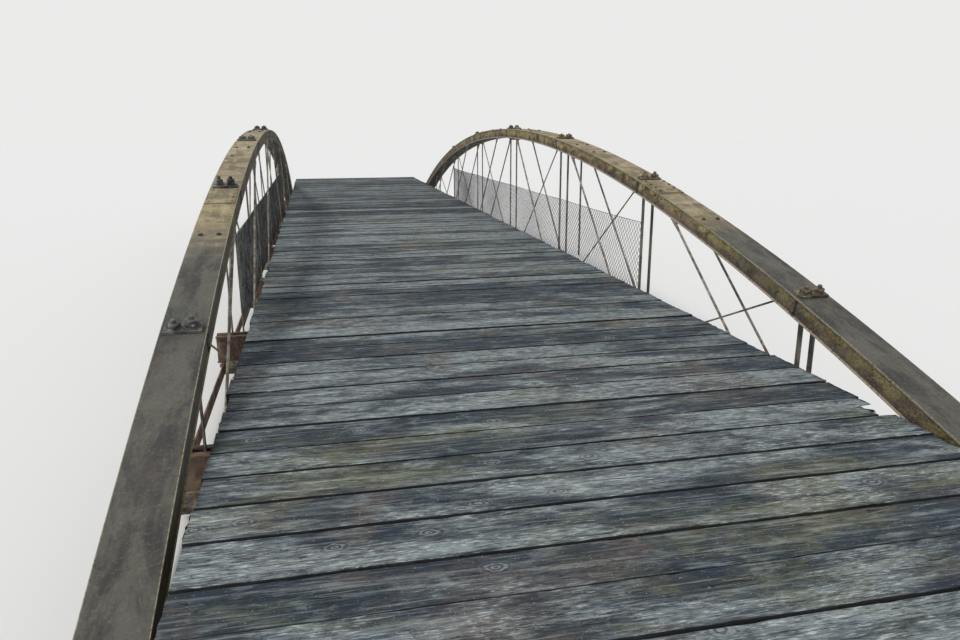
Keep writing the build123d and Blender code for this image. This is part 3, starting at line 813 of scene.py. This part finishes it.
main_radius = 0.011
main_plane = 0.125                      # from the truss's middle plane
main_starts = (0.690, 0.690, 0.850)     # outward of each post from mid-span, on the arch
counter_radius = 0.008
counter_start = 0.290                   # inward of a post, on the arch
counter_foot = 0.110                    # its line meets the chord's centre this far outward of a post
rod_sides = 14
palm_size = (0.046, 0.110, 0.014)
palm_rivet_reach = 0.034
block_half_length = 0.130
block_end_height = 0.161                # where a block's cut-back corner meets its end
thick_share = 1.3                       # thicker lower end, against the rod's radius
thick_length = 0.16
thick_fade = 0.03
head_share = 1.6                        # thicker upper end
head_length = 0.03
head_fade = 0.10
nut_across_share = 2.7
nut_height_share = 2


def tie_rod(shape, mid, x, top_y, block_y, foot_y, radius):
    """Round rod from a bolted palm under the arch to a nut on the cut-back corner of a block."""
    palm_x = math.copysign(min(abs(x), (arch_width - palm_size[0]) / 2), x)
    shape.block(arch_place(top_y, -palm_size[2] / 2, mid + palm_x), palm_size, plate_edge)
    for along in (-palm_rivet_reach, palm_rivet_reach):
        under = arch_place(top_y + along, -palm_size[2], mid + palm_x) @ Matrix.Rotation(math.pi, 4, "X")
        shape.turned(under, small_rivet, rivet_sides)
    place, length = aimed((mid + x, foot_y, chord_z), (mid + x, top_y, arch_z(top_y) - palm_size[2] / 2))
    climb = abs(place[1][2]) + place[2][2]
    seat = (block_half_length + block_end_height - chord_z - abs(foot_y - block_y)) / climb
    thick, head = radius * thick_share, radius * head_share
    fade_from = seat + thick_length
    low_end = ((thick, seat - 0.01), (thick, fade_from), (radius, fade_from + thick_fade))
    high_end = ((radius, length - head_length - head_fade), (head, length - head_length), (head, length))
    shape.turned(place, low_end + high_end, rod_sides)
    nut = (radius * nut_across_share, radius * nut_across_share, radius * nut_height_share)
    shape.block(place @ Matrix.Translation((0, 0, seat + nut[2] / 2)), nut, plate_edge)


def make_rods(name, side, material):
    """The main rods of both planes and the counters between them."""
    mid = side * truss_x
    for plane, toward in (("inner", -side), ("outer", side)):
        shape = Shape()
        for end in (-1, 1):
            for i, start in enumerate(main_starts):
                foot = end * (i + 1) * panel
                top_y = end * (i * panel + start)
                tie_rod(shape, mid, toward * main_plane, top_y, foot, foot, main_radius)
        piece = shape.mesh(f"{name}_{plane}_rods", material)
        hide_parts(f"{name}_{plane}_diagonals")
    shape = Shape()
    for end in (-1, 1):
        for i in range(1, half_panels):
            point = end * (i - 1) * panel
            top_y = end * (i * panel - counter_start)
            tie_rod(shape, mid, 0.0, top_y, point, point + end * counter_foot, counter_radius)
    piece = shape.mesh(f"{name}_counter_rods", material)
    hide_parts(f"{name}_counters")


# Lower chord and floor beams

chord_gap = 0.0075              # between the arch's side and the chord bar
chord_bar_thick = 0.012
chord_face = arch_width / 2 + chord_gap + chord_bar_thick
pin_nut = (0.064, 0.064, 0.028)
pin_nut_turn = 0.4
pin_end = ((0.020, -0.002), (0.020, 0.012), (0.017, 0.015))
chord_end_reach = 0.305         # past the last panel point
chord_palm_from_end = 0.062
chord_palm_y = half_panels * panel + chord_end_reach - chord_palm_from_end
chord_bolt_along = 0.045
chord_bolt_up = 0.026
beam_low = 0.216
beam_high = 0.470
web_face = 0.0335               # outer face of a web, from the beam's middle
web_rivet_inset = 0.06          # from the beam's underside and top
flange_thick = 0.010
flange_bolt = 0.060             # from the beam's middle


def make_chord_details(name, side, material):
    """Pins with square nuts at the blocks, and four bolts in each end of the chord bars."""
    shape = Shape()
    local = np.random.default_rng(80 + side)
    for toward in (-1, 1):
        x = side * truss_x + toward * chord_face
        for y in post_points:
            turn = Matrix.Rotation(local.uniform(-pin_nut_turn, pin_nut_turn), 4, "Z")
            face = facing(Matrix.Translation((x, y, chord_z)), toward) @ turn
            shape.block(face @ Matrix.Translation((0, 0, pin_nut[2] / 2)), pin_nut, nut_edge)
            shape.turned(face @ Matrix.Translation((0, 0, pin_nut[2])), pin_end, round_sides)
        for end in (-1, 1):
            for along in (-chord_bolt_along, chord_bolt_along):
                for up in (-chord_bolt_up, chord_bolt_up):
                    head = Matrix.Translation((x, end * (chord_palm_y + along), chord_z + up))
                    shape.turned(facing(head, toward), nut_profile, hex_sides)
    shape.mesh(f"{name}_chord_pins", material)


def make_beam_details(material):
    """Rows of rivets along the webs of the floor beams, and bolts that hold the joists to them."""
    shape = Shape()
    for i in range(-half_panels, half_panels + 1):
        for toward in (-1, 1):
            for x in (joist_rows[:-1] + joist_rows[1:]) / 2:
                for z in (beam_low + web_rivet_inset, beam_high - web_rivet_inset):
                    place = Matrix.Translation((x, i * panel + toward * web_face, z))
                    outward = Matrix.Rotation(-toward * math.pi / 2, 4, "X")
                    shape.turned(place @ outward, small_rivet, rivet_sides)
            for x in joist_rows:
                under = Matrix.Translation((x, i * panel + toward * flange_bolt, beam_high - flange_thick))
                shape.turned(under @ Matrix.Rotation(math.pi, 4, "X"), nut_profile, hex_sides)
    shape.mesh("beam_rivets", material)


# Materials of the frame's own pieces

def dress_frame():
    """Give every node that stays in view its material."""
    right_side = arch_side_iron(
        "arch_side_right", (0.175, 0.118, 0.085), 0.85, (0.31, 0.235, 0.185), (0.42, 0.36, 0.27))
    # The left copy is darker all over, with less lichen and a dimmer lip: painted shade on the same iron
    shaded_left_side = arch_side_iron(
        "arch_side_left_painted_shade", (0.042, 0.036, 0.031), 0.2, (0.085, 0.075, 0.06), (0.20, 0.19, 0.08))
    looks = {
        "arch_top_iron": arch_top_iron(),
        "post_iron": plain_iron(
            "post_iron", (0.155, 0.17, 0.14), (0.06, 0.06, 0.05), (0.29, 0.30, 0.25), 0.15),
        "rod_iron": plain_iron(
            "rod_iron", (0.285, 0.265, 0.225), (0.12, 0.10, 0.08), (0.43, 0.42, 0.365), 0.1),
        "beam_iron": plain_iron(
            "beam_iron", (0.17, 0.10, 0.07), (0.07, 0.045, 0.035), (0.28, 0.20, 0.14), 0.05),
        "casting": plain_iron(
            "casting_iron", (0.115, 0.105, 0.09), (0.04, 0.037, 0.036), (0.32, 0.31, 0.27), 0.4,
            lichen=(0.40, 0.37, 0.22)),
        "bolt": plain_iron(
            "bolt_iron", (0.07, 0.058, 0.048), (0.025, 0.022, 0.02), (0.20, 0.17, 0.13), 0.15),
        "left_cap": plain_iron(
            "left_cap_iron", (0.085, 0.09, 0.095), (0.03, 0.03, 0.034), (0.36, 0.37, 0.36), 0.2,
            lichen=(0.36, 0.36, 0.30)),
        "right_cap": plain_iron(
            "right_cap_iron", (0.12, 0.10, 0.07), (0.04, 0.035, 0.03), (0.30, 0.27, 0.18), 0.8,
            lichen=(0.34, 0.28, 0.08)),
        "joist_wood": joist_timber(),
        "fence_wire": fence_wire(),
        "deck_wood": board_wood(),
    }
    for part in frame["record"]["subparts"]:
        mesh = nodes[part["node"]].data
        mesh.materials.clear()
        if part["material_slot"] == "arch_iron":
            mesh.materials.append(shaded_left_side if part["node"].startswith("left") else right_side)
        else:
            mesh.materials.append(looks[part["material_slot"]])
    return looks


# Floor, light and camera

floor_reach = 150.0
floor_colour = (0.80, 0.80, 0.79, 1)
fill_colour = (0.62, 0.64, 0.67, 1)
backdrop_colour = (0.83, 0.83, 0.825, 1)
lamp_colour = (1.0, 0.96, 0.90)
lamp_strength = 1.5
lamp_width = math.radians(14)
lamp_aim = (0.55, 0.35, -1.0)


def make_stage():
    """A plain pale floor under the bearings."""
    mesh = bpy.data.meshes.new("floor")
    corners = [(x * floor_reach, y * floor_reach, 0) for x, y in ((-1, -1), (1, -1), (1, 1), (-1, 1))]
    mesh.from_pydata(corners, [], [(0, 1, 2, 3)])
    floor = bpy.data.objects.new("floor", mesh)
    bpy.context.scene.collection.objects.link(floor)
    material = bpy.data.materials.new("floor")
    material.use_nodes = True
    shader = material.node_tree.nodes["Principled BSDF"]
    shader.inputs["Base Color"].default_value = floor_colour
    shader.inputs["Roughness"].default_value = 0.9
    mesh.materials.append(material)


def make_light():
    """Soft even light from all round, paler where it is seen, and one broad lamp from high on the left."""
    world = bpy.data.worlds.new("studio")
    bpy.context.scene.world = world
    world.use_nodes = True
    tree = world.node_tree
    background = tree.nodes["Background"]
    background.inputs["Strength"].default_value = 1.0
    path = tree.nodes.new("ShaderNodeLightPath")
    seen = path.outputs["Is Camera Ray"]
    for kind in ("Is Glossy Ray", "Is Transmission Ray"):
        either = tree.nodes.new("ShaderNodeMath")
        either.operation = "MAXIMUM"
        tree.links.new(seen, either.inputs[0])
        tree.links.new(path.outputs[kind], either.inputs[1])
        seen = either.outputs[0]
    mix = tree.nodes.new("ShaderNodeMix")
    mix.data_type = "RGBA"
    mix.inputs[6].default_value = fill_colour
    mix.inputs[7].default_value = backdrop_colour
    tree.links.new(seen, mix.inputs[0])
    tree.links.new(mix.outputs[2], background.inputs["Color"])
    sun = bpy.data.lights.new("broad_lamp", "SUN")
    sun.energy = lamp_strength
    sun.color = lamp_colour
    sun.angle = lamp_width
    lamp = bpy.data.objects.new("broad_lamp", sun)
    lamp.rotation_euler = Vector(lamp_aim).to_track_quat("-Z", "Y").to_euler()
    bpy.context.scene.collection.objects.link(lamp)


def make_camera():
    """Camera at the photograph's place, over the left half of the deck, looking along the bridge."""
    camera = bpy.data.cameras.new("camera")
    camera.sensor_width = 36.0
    camera.lens = focal_pixels / photo_width * camera.sensor_width
    camera.clip_end = 500.0
    holder = bpy.data.objects.new("camera", camera)
    pitch, yaw, turn = (math.radians(a) for a in (pitch_down, yaw_right, roll))
    ahead = Vector((math.sin(yaw) * math.cos(pitch), math.cos(yaw) * math.cos(pitch), -math.sin(pitch)))
    level = Vector((math.cos(yaw), -math.sin(yaw), 0.0))
    over = level.cross(ahead)
    right = math.cos(turn) * level + math.sin(turn) * over
    up = -math.sin(turn) * level + math.cos(turn) * over
    axes = Matrix((right, up, -ahead)).transposed()
    holder.matrix_world = Matrix.Translation((camera_x, camera_y, deck_top + eye_height)) @ axes.to_4x4()
    bpy.context.scene.collection.objects.link(holder)
    bpy.context.scene.camera = holder


# Everything, in order

make_camera()
looks = dress_frame()
boards = plan_boards()
make_deck(boards, looks["deck_wood"])
make_nails(boards, looks["casting"])
for side_name, side_sign in sides.items():
    make_fence(side_name, side_sign, looks["fence_wire"])
    splice_look = looks["bolt"] if side_name == "right" else looks["arch_top_iron"]
    make_arch_details(side_name, side_sign, looks["bolt"], splice_look)
    make_caps(side_name, side_sign, looks[f"{side_name}_cap"])
    make_rods(side_name, side_sign, looks["rod_iron"])
    make_chord_details(side_name, side_sign, looks["casting"])
make_beam_details(looks["beam_iron"])
make_stage()
make_light()
bpy.context.scene.view_settings.view_transform = "Standard"
